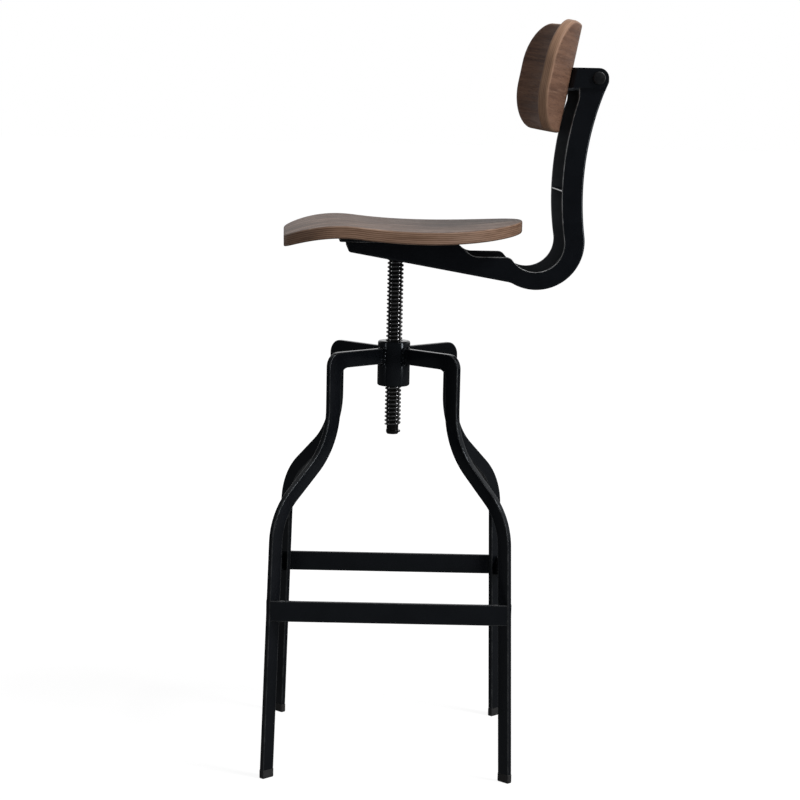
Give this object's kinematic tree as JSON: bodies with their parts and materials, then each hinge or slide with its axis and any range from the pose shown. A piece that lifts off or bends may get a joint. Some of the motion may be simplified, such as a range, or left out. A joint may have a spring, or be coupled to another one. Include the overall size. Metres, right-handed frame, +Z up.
{
  "type": "bar chair",
  "caption": "Industrial bar chair: bent plywood seat on a screw spindle, flat-bar steel legs with foot rails, pressed steel back post and tilting plywood back.",
  "frame": {"origin": "middle of the object's bounding box, on the floor under the feet", "axes": "+Z up; +X to the rear, so a sitter faces -X; +Y to the sitter's right"},
  "size_m": [0.482, 0.363, 1.0896],
  "materials": {
    "black_paint": "satin powder coat",
    "dark_steel": "blackened and oiled",
    "fastener_steel": "black oxide",
    "rubber": "matt",
    "stained_plywood": "open-pored stain"
  },
  "bodies": {
    "base": {"hub": "black_paint", "leg_front_near": "black_paint", "leg_front_far": "black_paint", "leg_rear_near": "black_paint", "leg_rear_far": "black_paint", "rail_near": "black_paint", "rail_far": "black_paint", "rail_front": "black_paint", "rail_rear": "black_paint", "foot_front_near": "rubber", "foot_front_far": "rubber", "foot_rear_near": "rubber", "foot_rear_far": "rubber"},
    "lift_stop": {"stop_ring": "dark_steel"},
    "swivel": {"spindle": "dark_steel", "spindle_flange": "black_paint", "flange_bolt_1": "fastener_steel", "flange_bolt_2": "fastener_steel", "flange_bolt_3": "fastener_steel", "flange_bolt_4": "fastener_steel", "spine": "black_paint", "spine_stiffener": "black_paint", "seat_plate": "black_paint", "seat": "stained_plywood", "seat_packer": "rubber", "seat_screw_1": "fastener_steel", "seat_screw_2": "fastener_steel", "seat_screw_3": "fastener_steel", "seat_screw_4": "fastener_steel", "pivot_bolt": "fastener_steel", "pivot_nut": "fastener_steel", "pivot_tube": "fastener_steel"},
    "back": {"bracket": "black_paint", "backrest": "stained_plywood", "back_screw_1": "fastener_steel", "back_screw_2": "fastener_steel", "back_screw_3": "fastener_steel", "back_screw_4": "fastener_steel"}
  },
  "joints": [
    {"name": "seat_lift", "type": "slide", "parent": "base", "child": "lift_stop", "axis": [0, 0, 1], "range_m": [-0.1005, 0.0605]},
    {"name": "seat_turn", "type": "hinge", "parent": "lift_stop", "child": "swivel", "pos_m": [-0.05954, 0, 0.6], "axis": [0, 0, 1], "range_deg": [-6000, 3600]},
    {"name": "back_tilt", "type": "hinge", "parent": "swivel", "child": "back", "pos_m": [0.22304, 0.01481, 1.0082], "axis": [-0.0523, 0.9986, 0], "range_deg": [-8, 20]}
  ],
  "couplings": [
    {"joint": "seat_lift", "follows": "seat_turn", "m_per_rad": 0.00095493}
  ]
}
